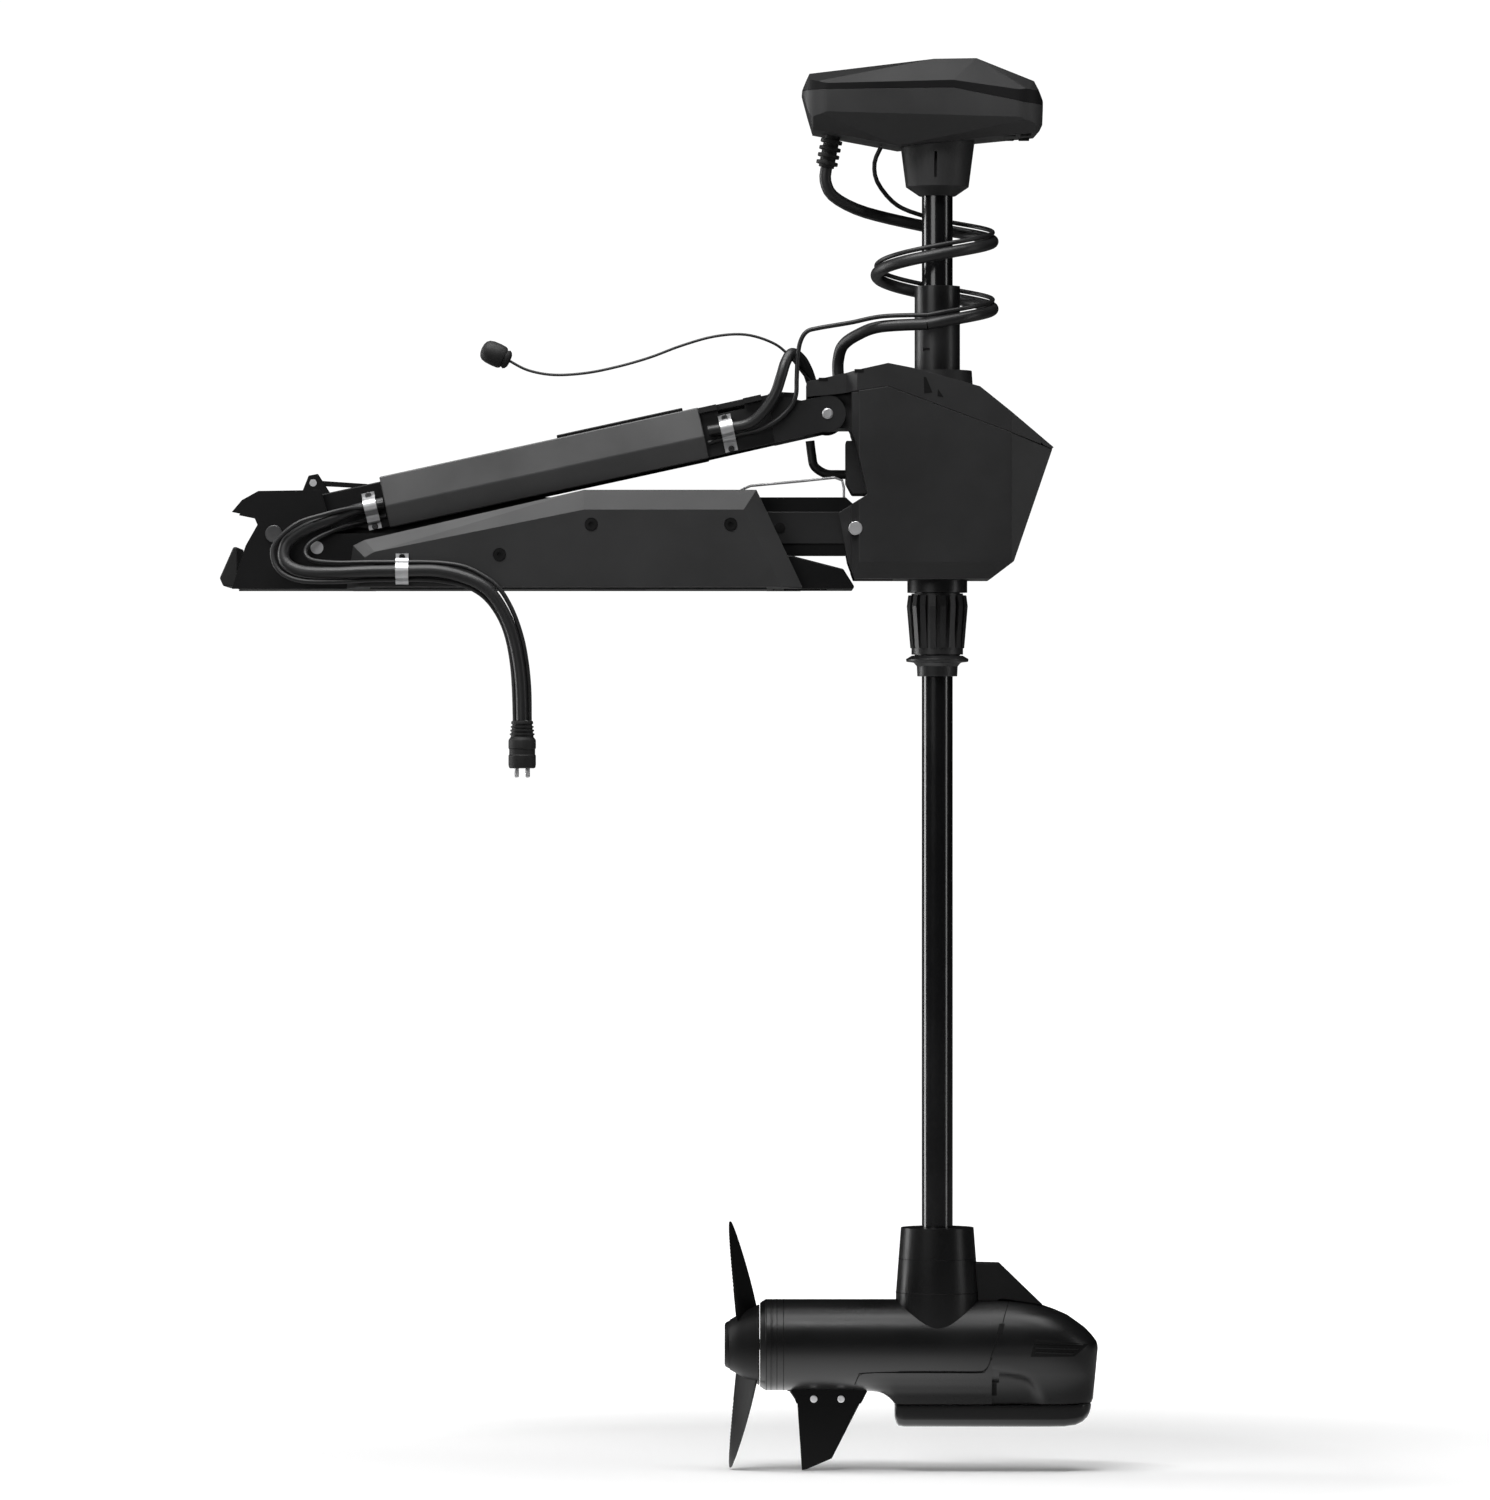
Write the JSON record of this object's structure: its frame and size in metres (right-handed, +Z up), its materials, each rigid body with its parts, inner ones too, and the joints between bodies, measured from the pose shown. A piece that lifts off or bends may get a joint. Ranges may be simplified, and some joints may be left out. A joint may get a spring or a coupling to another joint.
{
  "type": "trolling motor",
  "caption": "Bow-mount electric trolling motor: folding deck mount with two arms, steering housing, coiled cables, composite shaft, head and lower unit with propeller.",
  "frame": {"origin": "centre of the deck bolt pattern, on the underside of the base", "axes": "+X along the base towards the shaft, over the bow; +Z up; +Y away from the cable side"},
  "size_m": [0.963, 0.199, 1.5497],
  "materials": {
    "base_black": "satin black powder coat",
    "cover_grey": "fine moulded texture",
    "screw_black": "black oxide",
    "rubber": "matte rubber",
    "steel": "brushed stainless",
    "arm_grey": "black anodised extrusion",
    "arm_black": "satin black powder coat",
    "housing_satin": "fine moulded texture",
    "cast_metal": "as cast",
    "board_green": "solder mask",
    "sleeve_black": "satin black anodised",
    "bronze": "machined",
    "collar_black": "semi-gloss moulding",
    "shaft_gloss": "glossy composite tube",
    "head_satin": "fine moulded texture",
    "pod_satin": "satin black paint",
    "skeg_black": "moulded",
    "copper": "enamelled winding",
    "prop_black": "moulded",
    "cable": "cable jacket"
  },
  "bodies": {
    "base": {"base_frame": "base_black", "side_cover_near": "cover_grey", "side_cover_far": "cover_grey", "cover_screws": "screw_black", "motor_ramp": "base_black", "end_bumper": "rubber", "base_pivot_pins": "steel", "link_pivot_pin": "steel", "latch_bracket": "base_black", "latch_pin": "steel", "base_cable_clamp": "steel", "loop_cables": "cable", "power_lead": "cable", "power_plug": "rubber"},
    "latch": {"latch_lever": "base_black"},
    "upper_arm": {"upper_arm": "arm_grey", "arm_inner_cheeks": "base_black", "arm_outer_yoke": "arm_black", "yoke_pin": "steel", "arm_top_pad": "base_black", "arm_cable_clamps": "steel"},
    "lower_arm": {"lower_arm": "base_black", "link_bushes": "steel", "release_wire": "steel"},
    "housing": {"housing_tub": "housing_satin", "housing_lid": "housing_satin", "housing_link_pins": "steel", "bearing_bridge": "cast_metal", "steer_bearings": "steel", "steer_motor": "cast_metal", "drive_board": "board_green", "lid_cables": "cable", "housing_hose": "cable", "tow_cord": "cable", "tow_grip": "rubber"},
    "worm": {"worm": "steel"},
    "steer": {"steer_sleeve": "sleeve_black", "worm_wheel": "bronze", "collar_retainer": "collar_black"},
    "depth_collar": {"depth_collar": "collar_black"},
    "shaft": {"shaft_tube": "shaft_gloss", "head_neck": "head_satin", "head_shell": "head_satin", "head_cover": "head_satin", "head_board": "board_green", "head_gland": "rubber", "motor_neck": "pod_satin", "motor_case": "pod_satin", "end_bell": "pod_satin", "cable_fairing": "pod_satin", "nose_cone": "pod_satin", "sonar_housing": "pod_satin", "skeg": "skeg_black", "skeg_bolts": "steel", "stator": "copper", "motor_bearings": "steel", "coil_cables": "cable"},
    "prop": {"rotor_shaft": "steel", "propeller": "prop_black", "prop_cap": "prop_black"}
  },
  "joints": [
    {"name": "arm_swing", "type": "hinge", "parent": "base", "child": "upper_arm", "pos_m": [-0.245, 0, 0.06], "axis": [0, -1, 0], "range_deg": [0, 135], "deforming": ["loop_cables", "coil_cables", "lid_cables", "housing_hose"]},
    {"name": "lower_arm_swing", "type": "hinge", "parent": "base", "child": "lower_arm", "pos_m": [-0.198, 0, 0.045], "axis": [0, -1, 0], "range_deg": [0, 138.7]},
    {"name": "housing_tilt", "type": "hinge", "parent": "upper_arm", "child": "housing", "pos_m": [0.35979, 0, 0.19187], "axis": [0, -1, 0], "range_deg": [-45.1, 0]},
    {"name": "steer", "type": "hinge", "parent": "housing", "child": "steer", "pos_m": [0.481, 0, 0.1], "axis": [0, 0, 1], "range_deg": [-180, 180]},
    {"name": "worm_spin", "type": "hinge", "parent": "housing", "child": "worm", "pos_m": [0.536, 0, 0.118], "axis": [0, 1, 0], "range_deg": [-7210, 7210]},
    {"name": "depth_slide", "type": "slide", "parent": "steer", "child": "shaft", "axis": [0, 0, 1], "range_m": [-0.05, 0.35]},
    {"name": "collar_turn", "type": "hinge", "parent": "steer", "child": "depth_collar", "pos_m": [0.481, 0, -0.04], "axis": [0, 0, 1], "range_deg": [0, 90]},
    {"name": "prop_spin", "type": "hinge", "parent": "shaft", "child": "prop", "pos_m": [0.3, 0, -0.83], "axis": [1, 0, 0], "continuous": true},
    {"name": "latch_turn", "type": "hinge", "parent": "base", "child": "latch", "pos_m": [-0.209, 0.074, 0.12], "axis": [0, -1, 0], "range_deg": [0, 75]}
  ],
  "couplings": [
    {"joint": "lower_arm_swing", "follows": "arm_swing", "ratio": 1.027},
    {"joint": "housing_tilt", "follows": "arm_swing", "ratio": -0.33333},
    {"joint": "worm_spin", "follows": "steer", "ratio": 40}
  ]
}
